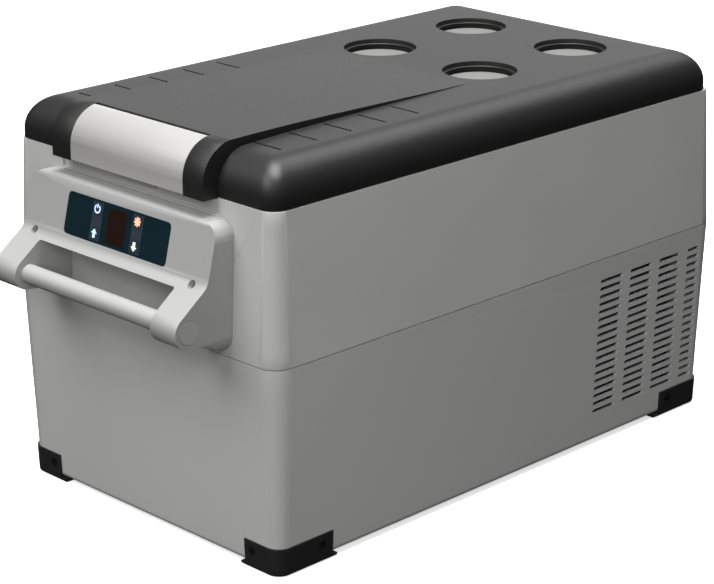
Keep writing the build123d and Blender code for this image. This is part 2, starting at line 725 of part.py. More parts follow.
with BuildPart() as compressor_upper:
    with BuildSketch(Plane.XY.offset(COMP_SPLIT)):
        with Locations((COMP_X, COMP_Y)):
            Circle(COMP_R + COMP_LIP)
    extrude(amount=5)
    with BuildSketch(Plane.XY.offset(COMP_SPLIT)):
        with Locations((COMP_X, COMP_Y)):
            Circle(COMP_R)
    extrude(amount=COMP_TOP - COMP_SPLIT)
    fillet(compressor_upper.faces().sort_by(Axis.Z)[-1].edges(), 22)
save(compressor_upper, "compressor_upper")


def bolt_pattern(radius, mode=Mode.ADD):
    """Four circles at the compressor's feet."""
    with Locations((COMP_X, COMP_Y)):
        with GridLocations(BOLT_PITCH, BOLT_PITCH, 2, 2):
            Circle(radius, mode=mode)


with BuildPart() as compressor_frame:
    with BuildSketch(Plane.XY.offset(COMP_Z0 - FRAME_T - 0.1)):
        with Locations((COMP_X, COMP_Y)):
            Rectangle(FRAME_SIZE, FRAME_SIZE)
        bolt_pattern(4.2, Mode.SUBTRACT)
    extrude(amount=FRAME_T)
save(compressor_frame, "compressor_frame")

with BuildPart() as compressor_grommets:
    with BuildSketch(Plane.XY.offset(BAY_FLOOR)):
        bolt_pattern(7.5)
        bolt_pattern(3.1, Mode.SUBTRACT)
    extrude(amount=COMP_Z0 - FRAME_T - 0.1 - BAY_FLOOR)
save(compressor_grommets, "compressor_grommets")

with BuildPart() as compressor_bolts:
    with BuildSketch(Plane.XY.offset(BAY_FLOOR)):
        bolt_pattern(3.0)
    extrude(amount=COMP_Z0 - BAY_FLOOR)
    with BuildSketch(Plane.XY.offset(COMP_Z0)):
        with Locations((COMP_X, COMP_Y)):
            with GridLocations(BOLT_PITCH, BOLT_PITCH, 2, 2):
                RegularPolygon(5.5, 6)
    extrude(amount=4)
save(compressor_bolts, "compressor_bolts")

TERMINAL_HALF_W = 22.0
TERMINAL_Z0 = 38.0
TERMINAL_Z1 = 78.0
with BuildPart() as terminal_cover:
    box_between((COMP_X - TERMINAL_HALF_W, COMP_Y - COMP_R - 18, TERMINAL_Z0),
                (COMP_X + TERMINAL_HALF_W, COMP_Y - COMP_R + 2, TERMINAL_Z1))
    fillet(terminal_cover.edges().filter_by(Axis.Y), 4)
    with BuildSketch(Plane.XY.offset(TERMINAL_Z0 - 1)):
        with Locations((COMP_X, COMP_Y)):
            Circle(COMP_R + 0.1)
    extrude(amount=TERMINAL_Z1 - TERMINAL_Z0 + 2, mode=Mode.SUBTRACT)
save(terminal_cover, "terminal_cover")

COND_X0 = 98.0
COND_X1 = 130.0
COND_Y0 = 116.0
COND_Y1 = 250.0
COND_Z0 = 22.0
COND_Z1 = 156.0
TUBE_ROWS = 6
TUBE_X = (COND_X0 + COND_X1) / 2
ROW_PITCH = (COND_Z1 - COND_Z0) / TUBE_ROWS
TUBE_OVERHANG = 4.0
CONDENSER_TUBE_R = 3.95
FINS = 34
FIN_T = 0.8
FIN_MARGIN = 6.0
FIN_PITCH = (COND_Y1 - COND_Y0 - 2 * FIN_MARGIN) / (FINS - 1)

with BuildPart() as condenser_fins:
    with BuildSketch(Plane.XY.offset(COND_Z0)):
        for fin in range(FINS):
            with Locations((TUBE_X, COND_Y0 + FIN_MARGIN + fin * FIN_PITCH)):
                Rectangle(COND_X1 - COND_X0, FIN_T)
    extrude(amount=COND_Z1 - COND_Z0)
    with BuildSketch(Plane.XZ.offset(-COND_Y0)):
        for row in range(TUBE_ROWS):
            with Locations((TUBE_X, COND_Z0 + ROW_PITCH * (row + 0.5))):
                Circle(CONDENSER_TUBE_R + 0.05)
    extrude(amount=-(COND_Y1 - COND_Y0), mode=Mode.SUBTRACT)
save(condenser_fins, "condenser_fins")

TUBE_FRONT = COND_Y0 - TUBE_OVERHANG
TUBE_REAR = COND_Y1 + TUBE_OVERHANG

with BuildPart() as condenser_tube:
    rows = []
    for row in range(TUBE_ROWS):
        z_row = COND_Z0 + ROW_PITCH * (row + 0.5)
        run = [(TUBE_X, TUBE_FRONT, z_row), (TUBE_X, TUBE_REAR, z_row)]
        rows += run if row % 2 == 0 else run[::-1]
    with BuildLine() as tube_path:
        FilletPolyline(*rows, radius=9)
    with BuildSketch(Plane(origin=rows[0], z_dir=(0, 1, 0))):
        Circle(CONDENSER_TUBE_R)
    sweep(path=tube_path.wires()[0])
save(condenser_tube, "condenser_tube")

FAN_X0 = 66.0
FAN_X1 = 91.0
FAN_Y = 183.0
FAN_Z = 89.0
FAN_HALF = 60.0
FAN_BORE = 57.0
FAN_HUB_R = 20.0
FAN_PIN_R = 2.5
FAN_SCREW_PITCH = 105.0
FAN_STRUT_T = 3.0
FAN_PIN_END = FAN_X0 + 18.0

with BuildPart() as fan_housing:
    with BuildSketch(Plane.YZ.offset(FAN_X0)):
        with Locations((FAN_Y, FAN_Z)):
            RectangleRounded(2 * FAN_HALF, 2 * FAN_HALF, 6)
            Circle(FAN_BORE, mode=Mode.SUBTRACT)
            with GridLocations(FAN_SCREW_PITCH, FAN_SCREW_PITCH, 2, 2):
                Circle(2.2, mode=Mode.SUBTRACT)
    extrude(amount=FAN_X1 - FAN_X0)
    # stator struts and the bearing post
    with BuildSketch(Plane.YZ.offset(FAN_X0)):
        with Locations((FAN_Y, FAN_Z)):
            Circle(FAN_HUB_R)
            for angle in (45, 135):
                with Locations(Location((0, 0), angle)):
                    Rectangle(2 * FAN_BORE + 4, 5)
    extrude(amount=FAN_STRUT_T)
    cylinder_x(FAN_X0 + FAN_STRUT_T, FAN_PIN_END, FAN_Y, FAN_Z, FAN_PIN_R)
save(fan_housing, "fan_housing")

BLADES = 7
BLADE_CHORD = 19.0
BLADE_T = 1.6
BLADE_PITCH = 0.75       # how far a blade moves along the shaft for each millimetre of chord
BLADE_ROOT_R = 15.0      # inside the hub
BLADE_TIP_GAP = 2.5
BLADE_MID_X = FAN_X0 + 13.0
with BuildPart() as fan_rotor:
    cylinder_x(FAN_X0 + FAN_STRUT_T + 0.5, FAN_X1 - 1.5, FAN_Y, FAN_Z, FAN_HUB_R)
    for blade in range(BLADES):
        turn = math.radians(360 / BLADES * blade)
        outward = Vector(0, math.cos(turn), math.sin(turn))
        chord = Vector(BLADE_PITCH, -math.sin(turn), math.cos(turn))
        root = Vector(BLADE_MID_X, FAN_Y, FAN_Z) + outward * BLADE_ROOT_R
        with BuildSketch(Plane(origin=root, x_dir=chord, z_dir=outward)):
            Rectangle(BLADE_CHORD, BLADE_T)
        extrude(amount=FAN_BORE - BLADE_TIP_GAP - BLADE_ROOT_R)
    cylinder_x(FAN_X0 + FAN_STRUT_T, FAN_PIN_END + 0.5, FAN_Y, FAN_Z, FAN_PIN_R + 0.05, Mode.SUBTRACT)
save(fan_rotor, "fan_rotor")

DRIER_X = 20.0
DRIER_Y = 122.0
DRIER_Z0 = 40.0
DRIER_Z1 = 145.0
DRIER_R = 9.5
with BuildPart() as filter_drier:
    with BuildSketch(Plane.XY.offset(DRIER_Z0)):
        with Locations((DRIER_X, DRIER_Y)):
            Circle(DRIER_R)
    extrude(amount=DRIER_Z1 - DRIER_Z0)
    fillet(filter_drier.edges(), 5)
save(filter_drier, "filter_drier")


def tube_along(points, bend, radius):
    """A round tube along straight runs with rounded bends."""
    first = Vector(*points[0])
    direction = Vector(*points[1]) - first
    with BuildPart() as tube:
        with BuildLine() as path:
            FilletPolyline(*points, radius=bend)
        with BuildSketch(Plane(origin=first, z_dir=direction)):
            Circle(radius)
        sweep(path=path.wires()[0])
    add(tube.part)


COND_TOP_Z = COND_Z0 + ROW_PITCH * (TUBE_ROWS - 0.5)
COND_LOW_Z = COND_Z0 + ROW_PITCH * 0.5
PIPE_GAP = 0.2           # brazed ends are drawn this far apart
DISCHARGE_X = COMP_X + 30
DISCHARGE_RUN_Z = 168.0
DISCHARGE_CROSS_X = 50.0
PIPE_LANE_Y = 108.0      # free lane between the bulkhead and the machinery
SUCTION_X = COMP_X - 18
SUCTION_Y = COMP_Y - 24
SUCTION_RUN_Z = 172.0
CAPILLARY_RUN_Z = 160.0
LIQUID_RUN_Z = 18.0
PIPE_END_Y = 112.0
PIPE_END_Z = BAY_TOP + 1

with BuildPart() as discharge_line:
    tube_along([(DISCHARGE_X, COMP_Y, COMP_TOP + PIPE_GAP),
                (DISCHARGE_X, COMP_Y, DISCHARGE_RUN_Z),
                (DISCHARGE_CROSS_X, COMP_Y, DISCHARGE_RUN_Z),
                (DISCHARGE_CROSS_X, PIPE_LANE_Y, DISCHARGE_RUN_Z),
                (TUBE_X, PIPE_LANE_Y, DISCHARGE_RUN_Z),
                (TUBE_X, PIPE_LANE_Y, COND_TOP_Z),
                (TUBE_X, TUBE_FRONT - PIPE_GAP, COND_TOP_Z)], 3.4, 3.0)
save(discharge_line, "discharge_line")

with BuildPart() as suction_line:
    tube_along([(SUCTION_X, SUCTION_Y, COMP_TOP + PIPE_GAP),
                (SUCTION_X, SUCTION_Y, SUCTION_RUN_Z),
                (SUCTION_X, PIPE_END_Y, SUCTION_RUN_Z),
                (SUCTION_X, PIPE_END_Y, PIPE_END_Z)], 8, 3.6)
save(suction_line, "suction_line")

with BuildPart() as liquid_line:
    tube_along([(TUBE_X, TUBE_FRONT - PIPE_GAP, COND_LOW_Z),
                (TUBE_X, PIPE_LANE_Y - 0.5, COND_LOW_Z),
                (TUBE_X, PIPE_LANE_Y - 0.5, LIQUID_RUN_Z),
                (DRIER_X, PIPE_LANE_Y - 0.5, LIQUID_RUN_Z),
                (DRIER_X, DRIER_Y, LIQUID_RUN_Z),
                (DRIER_X, DRIER_Y, DRIER_Z0 - PIPE_GAP)], 3.2, 2.5)
save(liquid_line, "liquid_line")

with BuildPart() as capillary_tube:
    tube_along([(DRIER_X, DRIER_Y, DRIER_Z1 + PIPE_GAP),
                (DRIER_X, DRIER_Y, CAPILLARY_RUN_Z),
                (DRIER_X, PIPE_END_Y, CAPILLARY_RUN_Z),
                (DRIER_X, PIPE_END_Y, PIPE_END_Z)], 4, 1.2)
save(capillary_tube, "capillary_tube")

MODULE_X0 = 2.0
MODULE_X1 = 52.0
MODULE_Y0 = 166.0
MODULE_Y1 = 248.0
MODULE_TOP = 74.0
MODULE_FINS = 8
MODULE_FIN_PITCH = 10.0
with BuildPart() as power_module:
    box_between((MODULE_X0, MODULE_Y0, BAY_FLOOR), (MODULE_X1, MODULE_Y1, MODULE_TOP))
    with BuildSketch(Plane.XY.offset(MODULE_TOP)):
        with Locations(((MODULE_X0 + MODULE_X1) / 2, (MODULE_Y0 + MODULE_Y1) / 2)):
            with GridLocations(0, MODULE_FIN_PITCH, 1, MODULE_FINS):
                Rectangle(MODULE_X1 - MODULE_X0 - 6, 3)
    extrude(amount=14)
save(power_module, "power_module")

INLET_FLANGE = 4.2
FLANGE_OFF = 0.1         # flanges stand just clear of the wall
INLET_FLANGE_T = 1.5
INLET_DEPTH = 14.0
INLET_PIN_PITCH = 11.0
INLET_PLANE = rear_wall_plane(INLET_X, FITTINGS_Z)
with BuildPart() as power_inlet:
    with BuildSketch(INLET_PLANE.offset(FLANGE_OFF)):
        RectangleRounded(INLET_W + 2 * INLET_FLANGE, INLET_H + 2 * INLET_FLANGE, 4)
    extrude(amount=INLET_FLANGE_T)
    with BuildSketch(INLET_PLANE.offset(FLANGE_OFF)):
        RectangleRounded(INLET_W, INLET_H, INLET_R)
    extrude(amount=-INLET_DEPTH)
    with BuildSketch(INLET_PLANE.offset(FLANGE_OFF + INLET_FLANGE_T)):
        RectangleRounded(27, 17, 3)
    extrude(amount=1 - INLET_DEPTH, mode=Mode.SUBTRACT)
    with BuildSketch(INLET_PLANE.offset(2 - INLET_DEPTH)):
        with GridLocations(INLET_PIN_PITCH, 0, 2, 1):
            Circle(1.8)
    extrude(amount=8)
save(power_inlet, "power_inlet")

FUSE_PLANE = rear_wall_plane(FUSE_X, FITTINGS_Z)
FUSE_KNOB_T = 5.8
with BuildPart() as fuse_cap:
    with BuildSketch(FUSE_PLANE.offset(FLANGE_OFF)):
        Circle(10.5)
        Rectangle(13, 1.6, mode=Mode.SUBTRACT)
    extrude(amount=FUSE_KNOB_T)
    with BuildSketch(FUSE_PLANE.offset(FLANGE_OFF)):
        Circle(FUSE_R)
    extrude(amount=2)
    with BuildSketch(FUSE_PLANE.offset(FLANGE_OFF)):
        Circle(FUSE_R)
    extrude(amount=-22)
save(fuse_cap, "fuse_cap")

# ================================================================ cabin fittings
LAMP_HALF_L = 18.0
LAMP_Z0 = 262.0
LAMP_Z1 = 274.0
FITTING_DEPTH = 3.0
with BuildPart() as cabin_lamp:
    box_between((CABIN_HALF_W - FITTING_DEPTH, -LAMP_HALF_L, LAMP_Z0),
                (CABIN_HALF_W, LAMP_HALF_L, LAMP_Z1))
    fillet(cabin_lamp.edges().filter_by(Axis.X), 4)
save(cabin_lamp, "cabin_lamp")

PROBE_Y = 40.0
PROBE_Z = 120.0
with BuildPart() as temperature_probe:
    with BuildSketch(Plane.XY.offset(PROBE_Z)):
        with Locations((CABIN_HALF_W - FITTING_DEPTH, PROBE_Y)):
            Circle(FITTING_DEPTH)
    extrude(amount=26)
    fillet(temperature_probe.edges(), 1.2)
save(temperature_probe, "temperature_probe")

STRIKE_LIP_Y = -267.6
STRIKE_HALF_W = 20.0
STRIKE_Z0 = 288.0
STRIKE_T = 1.6
STRIKE_LIP_Z = 298.0
with BuildPart() as latch_strike:
    box_between((-STRIKE_HALF_W, RECESS_Y - STRIKE_T, STRIKE_Z0),
                (STRIKE_HALF_W, RECESS_Y, STRIKE_LIP_Z + STRIKE_T))
    box_between((-STRIKE_HALF_W, STRIKE_LIP_Y, STRIKE_LIP_Z),
                (STRIKE_HALF_W, RECESS_Y - STRIKE_T, STRIKE_LIP_Z + STRIKE_T))
save(latch_strike, "latch_strike")


# ================================================================ lid
def lid_section(step, steps):
    """Inset, height and corner radius of one section of the lid's rolled edge."""
    turn = math.radians(90 * step / steps)
    inset = LID_ROLL * (1 - math.cos(turn))
    z = Z_LID - LID_ROLL + LID_ROLL * math.sin(turn)
    return inset, z, LID_CORNER_R - 0.42 * inset


ROLL_STEPS = 6
LID_REAR = RIM_HALF_L - 3.0
LID_MID_Y = (LID_REAR - RIM_HALF_L) / 2
LID_HALF_L = (LID_REAR + RIM_HALF_L) / 2


def lid_body():
    """The outer form: upright edge, then a quarter-round roll to the flat top."""
    with BuildPart() as body:
        with BuildSketch(Plane.XY.offset(LID_Z0)):
            with Locations((0, LID_MID_Y)):
                RectangleRounded(2 * RIM_HALF_W, 2 * LID_HALF_L, LID_CORNER_R)
        extrude(amount=Z_LID - LID_ROLL - LID_Z0)
        for step in range(ROLL_STEPS + 1):
            inset, z, radius = lid_section(step, ROLL_STEPS)
            with BuildSketch(Plane.XY.offset(z)):
                with Locations((0, LID_MID_Y)):
                    RectangleRounded(2 * (RIM_HALF_W - inset), 2 * (LID_HALF_L - inset), radius)
        loft()
    add(body.part)


ROLL_CENTRE_Y = TONGUE_FRONT + TONGUE_R
ROLL_CENTRE_Z = TONGUE_TOP - TONGUE_R
TONGUE_BACK = -262.0     # inner face of the tongue's drop
TONGUE_ROOF_Z = 304.0
TONGUE_WEB_Y = -236.0
RAISED_UNDER_Z = 327.0   # underside of the raised panel


def roll_point(radius, degrees, y=ROLL_CENTRE_Y, z=ROLL_CENTRE_Z):
    """A point on a side-view arc, by default round the tongue's roll."""
    angle = math.radians(degrees)
    return (y + radius * math.cos(angle), z + radius * math.sin(angle))


# half widths of the tongue and of the groove beside it, from the front to the rear
TONGUE_EDGE = [(91.0, -290), (91.0, -262), (87.6, -225), (85.2, -185), (84.0, -140), (84.0, 30)]
GROOVE_EDGE = [(93.6, -290), (93.6, -256), (90.4, -222), (87.8, -182), (86.2, -135), (84.0, -60)]
RAISED_HALF_W = TONGUE_EDGE[-1][0]
GROOVE_REAR = GROOVE_EDGE[-1][1]


def tongue_profile():
    """Side profile of the raised middle panel, rolled over at the front."""
    with BuildSketch() as profile:
        with BuildLine():
            Polyline(roll_point(TONGUE_R, 180), (TONGUE_FRONT, TONGUE_BOTTOM),
                     (TONGUE_BACK, TONGUE_BOTTOM), (TONGUE_BACK, TONGUE_ROOF_Z),
                     (TONGUE_WEB_Y, TONGUE_ROOF_Z), (TONGUE_WEB_Y, RAISED_UNDER_Z),
                     (TONGUE_END, RAISED_UNDER_Z), (TONGUE_END, Z_LID), roll_point(TONGUE_R, 90))
            ThreePointArc(*[roll_point(TONGUE_R, degrees) for degrees in (90, 135, 180)])
        make_face()
    return profile.sketch


GROOVE_FLOOR_R = LID_ROLL - GROOVE_DEPTH
GROOVE_CENTRE = {"y": LID_ROLL - RIM_HALF_L, "z": Z_LID - LID_ROLL}

with BuildPart() as groove:
    # the band between the lid's surface and a copy of it sunk by the groove depth
    with BuildSketch(Plane.YZ):
        with BuildLine():
            Polyline(roll_point(GROOVE_FLOOR_R, 180, **GROOVE_CENTRE),
                     (GROOVE_DEPTH - RIM_HALF_L, 290), (-300, 290), (-300, 345),
                     (GROOVE_REAR, 345), (GROOVE_REAR, Z_LID),
                     roll_point(GROOVE_FLOOR_R, 90, **GROOVE_CENTRE))
            ThreePointArc(*[roll_point(GROOVE_FLOOR_R, degrees, **GROOVE_CENTRE)
                            for degrees in (90, 135, 180)])
        make_face()
    extrude(amount=WIDTH / 2, both=True)
    with BuildSketch(Plane.XY.offset(280)):
        for side in (-1, 1):
            with BuildLine():
                Polyline(*[(side * x, y) for x, y in GROOVE_EDGE],
                         *[(side * x, y) for x, y in TONGUE_EDGE[-2::-1]], close=True)
            make_face()
    extrude(amount=80, mode=Mode.INTERSECT)

with BuildPart() as tongue:
    with BuildSketch(Plane.YZ):
        add(tongue_profile())
    extrude(amount=WIDTH / 2, both=True)
    with BuildSketch(Plane.XY.offset(280)):
        with BuildLine():
            Polyline(*TONGUE_EDGE, *[(-x, y) for x, y in TONGUE_EDGE[::-1]], close=True)
        make_face()
    extrude(amount=80, mode=Mode.INTERSECT)

CUPS = [(sx * CUP_X, CUP_Y0 + sy * CUP_DY) for sx in (-1, 1) for sy in (-1, 1)]

LID_EDGE = 4.5           # thickness of the lid's upright edge
HOLLOW_STEP_Z = 312.0
HOLLOW_FRONT = -229.0
HOLLOW_FRONT_Z = 334.4
HOLLOW_REAR_Z = 329.4
POCKET_R = 17.4          # inner face of the lever pocket
POCKET_REAR = PIVOT_Y + BARREL_R + 0.9
TICK_DEPTH = 1.2
TICK_W = 2.2
PIN_HALF_L = 77.0

with BuildPart() as lid_shell:
    lid_body()
    # hollow, in two depths that follow the roll
    rounded_block(RIM_HALF_W - LID_EDGE, -RIM_HALF_L + LID_EDGE, LID_REAR - LID_EDGE, LID_Z0 - 1,
                  HOLLOW_STEP_Z, 13, Mode.SUBTRACT)
    rounded_block(RIM_HALF_W - 17, -RIM_HALF_L + LID_ROLL, LID_REAR - 17, HOLLOW_STEP_Z - 1,
                  Z_LID - LID_WALL - 1, 8, Mode.SUBTRACT)
    # raised panel and latch tongue
    add(tongue.part)
    with BuildSketch(Plane.YZ):
        with BuildLine():
            Polyline((HOLLOW_FRONT, RAISED_UNDER_Z - 1), (HOLLOW_FRONT, HOLLOW_FRONT_Z),
                     (0, HOLLOW_REAR_Z), (0, RAISED_UNDER_Z - 1), close=True)
        make_face()
    extrude(amount=RAISED_HALF_W - LID_WALL, both=True, mode=Mode.SUBTRACT)
    add(groove.part, mode=Mode.SUBTRACT)
    # lever pocket, open at the front and below
    with BuildSketch(Plane.YZ):
        with BuildLine():
            Polyline(roll_point(POCKET_R, 180), (ROLL_CENTRE_Y - POCKET_R, 280), (-300, 280),
                     (-300, 350), (POCKET_REAR, 350), (POCKET_REAR, ROLL_CENTRE_Z + POCKET_R),
                     roll_point(POCKET_R, 90))
            ThreePointArc(*[roll_point(POCKET_R, degrees) for degrees in (90, 135, 180)])
        make_face()
    extrude(amount=LEVER_HALF_W + LEVER_GAP, both=True, mode=Mode.SUBTRACT)
    # notch that lets the strike into the pocket
    box_between((-STRIKE_HALF_W - 2, -266, TONGUE_BOTTOM - 1),
                (STRIKE_HALF_W + 2, TONGUE_BACK + 0.5, TONGUE_ROOF_Z - 1.5), Mode.SUBTRACT)
    # cup recesses with their own walls
    with BuildSketch(Plane.XY.offset(Z_LID - CUP_DEPTH - CUP_WALL)):
        with Locations(*CUPS):
            Circle(CUP_R + CUP_WALL)
    extrude(amount=CUP_DEPTH)
    with BuildSketch(Plane.XY.offset(Z_LID - CUP_DEPTH)):
        with Locations(*CUPS):
            Circle(CUP_R)
    extrude(amount=CUP_DEPTH + 5, mode=Mode.SUBTRACT)
    # tick grooves across both wings
    with BuildSketch(Plane.XY.offset(Z_LID - TICK_DEPTH)):
        for tick in range(TICKS):
            for side in (-1, 1):
                with Locations((side * TICK_X, TICK_FIRST + tick * TICK_PITCH)):
                    Rectangle(TICK_L, TICK_W)
    extrude(amount=4, mode=Mode.SUBTRACT)
    # holes for the latch pin
    cylinder_x(-PIN_HALF_L, PIN_HALF_L, PIVOT_Y, PIVOT_Z, PIN_R, Mode.SUBTRACT)
save(lid_shell, "lid_shell")

with BuildPart() as cup_discs:
    with BuildSketch(Plane.XY.offset(Z_LID - CUP_DEPTH)):
        with Locations(*CUPS):
            Circle(CUP_R - 2.2)
    extrude(amount=1.2)
save(cup_discs, "cup_discs")

LID_LINER_Z0 = 298.6
LID_LINER_Z1 = 301.0
LID_LINER_EDGE = LID_EDGE + 0.3
FOAM_EDGE = 19.0
with BuildPart() as lid_foam:
    rounded_block(RIM_HALF_W - FOAM_EDGE, -RIM_HALF_L + LID_ROLL + 2, LID_REAR - FOAM_EDGE,
                  LID_LINER_Z1 + 0.2, Z_LID - CUP_DEPTH - CUP_WALL - 0.7, 8)
save(lid_foam, "lid_foam")

PLUG_HALF_W = 118.0
PLUG_HALF_L = 226.0
PLUG_BOTTOM = 287.0
with BuildPart() as lid_liner:
    rounded_block(RIM_HALF_W - LID_LINER_EDGE, -RIM_HALF_L + LID_LINER_EDGE,
                  LID_REAR - LID_LINER_EDGE, LID_LINER_Z0, LID_LINER_Z1, 12.5)
    rounded_block(PLUG_HALF_W, -PLUG_HALF_L, PLUG_HALF_L, PLUG_BOTTOM, LID_LINER_Z0, 14)
    fillet(lid_liner.faces().sort_by(Axis.Z)[0].edges(), 4)
save(lid_liner, "lid_liner")

GASKET_HALF_W = 133.0
GASKET_HALF_L = 242.0
GASKET_W = 8.0
with BuildPart() as lid_gasket:
    rounded_block(GASKET_HALF_W, -GASKET_HALF_L, GASKET_HALF_L, Z_RIM + 0.3, LID_LINER_Z0 - 0.1, 14)
    rounded_block(GASKET_HALF_W - GASKET_W, -GASKET_HALF_L + GASKET_W, GASKET_HALF_L - GASKET_W,
                  Z_RIM - 1, LID_LINER_Z0 + 1, 10, Mode.SUBTRACT)
save(lid_gasket, "lid_gasket")


# ================================================================ latch
def lever_skin():
    """Curved cover that continues the tongue's profile."""
    inner = TONGUE_R - LEVER_T
    low = TONGUE_BOTTOM + 0.8
    with BuildSketch() as skin:
        with BuildLine():
            ThreePointArc(*[roll_point(TONGUE_R, degrees) for degrees in (LEVER_TOP, 138, 180)])
            Polyline(roll_point(TONGUE_R, 180), (TONGUE_FRONT, low), (TONGUE_FRONT + LEVER_T, low),
                     roll_point(inner, 180))
            ThreePointArc(*[roll_point(inner, degrees) for degrees in (180, 138, LEVER_TOP)])
            Line(roll_point(inner, LEVER_TOP), roll_point(TONGUE_R, LEVER_TOP))
        make_face()
    return skin.sketch


LEVER_TOP = 97.5         # where the skin ends on the roll, in degrees
SPRING_X = 30.0
SPRING_HALF = 9.0

with BuildPart() as latch_lever:
    with BuildSketch(Plane.YZ):
        add(lever_skin())
        with Locations((PIVOT_Y, PIVOT_Z)):
            Circle(BARREL_R)
    extrude(amount=LEVER_HALF_W, both=True)
    cylinder_x(-LEVER_HALF_W, LEVER_HALF_W, PIVOT_Y, PIVOT_Z, PIN_R + 0.05, Mode.SUBTRACT)
    # room for the return spring
    for side in (-1, 1):
        cylinder_x(side * SPRING_X - SPRING_HALF, side * SPRING_X + SPRING_HALF, PIVOT_Y, PIVOT_Z,
                   BARREL_R - 0.3, Mode.SUBTRACT)
save(latch_lever, "latch_lever")

HOOK_Y = TONGUE_FRONT + LEVER_T
HOOK_T = 2.4
HOOK_TOP = 307.5
HOOK_HALF_W = 15.0
NOSE_Y = STRIKE_LIP_Y - 0.4
NOSE_TOP = STRIKE_LIP_Z - 0.4
with BuildPart() as latch_hook:
    with BuildSketch(Plane.YZ):
        with BuildLine():
            Polyline((HOOK_Y, HOOK_TOP), (HOOK_Y, NOSE_TOP - 0.6), (HOOK_Y + 1, NOSE_TOP - HOOK_T),
                     (NOSE_Y, NOSE_TOP - HOOK_T), (NOSE_Y, NOSE_TOP),
                     (HOOK_Y + HOOK_T, NOSE_TOP), (HOOK_Y + HOOK_T, HOOK_TOP), close=True)
        make_face()
    extrude(amount=HOOK_HALF_W, both=True)
save(latch_hook, "latch_hook")

SPRING_WIRE_R = 0.4
SPRING_COIL_R = 2.0
SPRING_TURNS = 9
SPRING_PITCH = 2.2 * SPRING_WIRE_R

with BuildPart() as latch_spring:
    # close-wound turns drawn as separate rings round the pin, one beside the other
    for side in (-1, 1):
        for turn in range(SPRING_TURNS):
            x_ring = side * SPRING_X + (turn - (SPRING_TURNS - 1) / 2) * SPRING_PITCH
            with BuildSketch(Plane.XZ.offset(-PIVOT_Y)):
                with Locations((x_ring, PIVOT_Z + SPRING_COIL_R)):
                    Circle(SPRING_WIRE_R)
            revolve(axis=Axis((x_ring, PIVOT_Y, PIVOT_Z), (1, 0, 0)))
save(latch_spring, "latch_spring")

with BuildPart() as latch_pin:
    cylinder_x(-PIN_HALF_L + 0.2, PIN_HALF_L - 0.2, PIVOT_Y, PIVOT_Z, PIN_R)
save(latch_pin, "latch_pin")


# ================================================================ rear hinges
HINGES = {"left": -HINGE_X, "right": HINGE_X}
HINGE_HALF_W = 22.0
LEAF_HALF_W = 7.6        # the lid's knuckle, between the two on the cabinet
LEAF_GAP = 0.4
PLATE_OFF = 0.9          # hinge plates stand this far off the cabinet's rim line
PLATE_T = 3.5
LEAF_T = 3.0
LEAF_WING_HALF_W = 20.0

for hinge_name, hinge_x in HINGES.items():
    with BuildPart() as base:
        box_between((hinge_x - HINGE_HALF_W, RIM_HALF_L + PLATE_OFF, 285),
                    (hinge_x + HINGE_HALF_W, RIM_HALF_L + PLATE_OFF + PLATE_T, 294))
        for side in (-1, 1):
            low, high = sorted((hinge_x + side * (LEAF_HALF_W + LEAF_GAP),
                                hinge_x + side * HINGE_HALF_W))
            cylinder_x(low, high, HINGE_Y, HINGE_Z, KNUCKLE_R)
            box_between((low, RIM_HALF_L + PLATE_OFF, 288), (high, HINGE_Y + 3, 295))
        cylinder_x(hinge_x - HINGE_HALF_W - 1, hinge_x + HINGE_HALF_W + 1, HINGE_Y, HINGE_Z,
                   HINGE_PIN_R, Mode.SUBTRACT)
    save(base, f"hinge_base_{hinge_name}")

with BuildPart() as hinge_leaves:
    for hinge_x in HINGES.values():
        cylinder_x(hinge_x - LEAF_HALF_W, hinge_x + LEAF_HALF_W, HINGE_Y, HINGE_Z, KNUCKLE_R)
        box_between((hinge_x - LEAF_HALF_W, LID_REAR + 0.1, 300),
                    (hinge_x + LEAF_HALF_W, HINGE_Y, 304.4))
        box_between((hinge_x - LEAF_HALF_W, LID_REAR + 0.1, 300),
                    (hinge_x + LEAF_HALF_W, LID_REAR + LEAF_T, 308))
        box_between((hinge_x - LEAF_WING_HALF_W, LID_REAR + 0.1, 306),
                    (hinge_x + LEAF_WING_HALF_W, LID_REAR + LEAF_T, 314))
        cylinder_x(hinge_x - LEAF_HALF_W - 1, hinge_x + LEAF_HALF_W + 1, HINGE_Y, HINGE_Z,
                   HINGE_PIN_R + 0.05, Mode.SUBTRACT)
save(hinge_leaves, "hinge_leaves")

with BuildPart() as hinge_pins:
    for hinge_x in HINGES.values():
        cylinder_x(hinge_x - HINGE_HALF_W - 0.5, hinge_x + HINGE_HALF_W + 0.5, HINGE_Y, HINGE_Z,
                   HINGE_PIN_R)
save(hinge_pins, "hinge_pins")
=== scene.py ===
"""Looks for the compressor cooler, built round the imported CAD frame. Every size is in metres."""
import json
import math

import bmesh
import bpy
from mathutils import Matrix, Vector


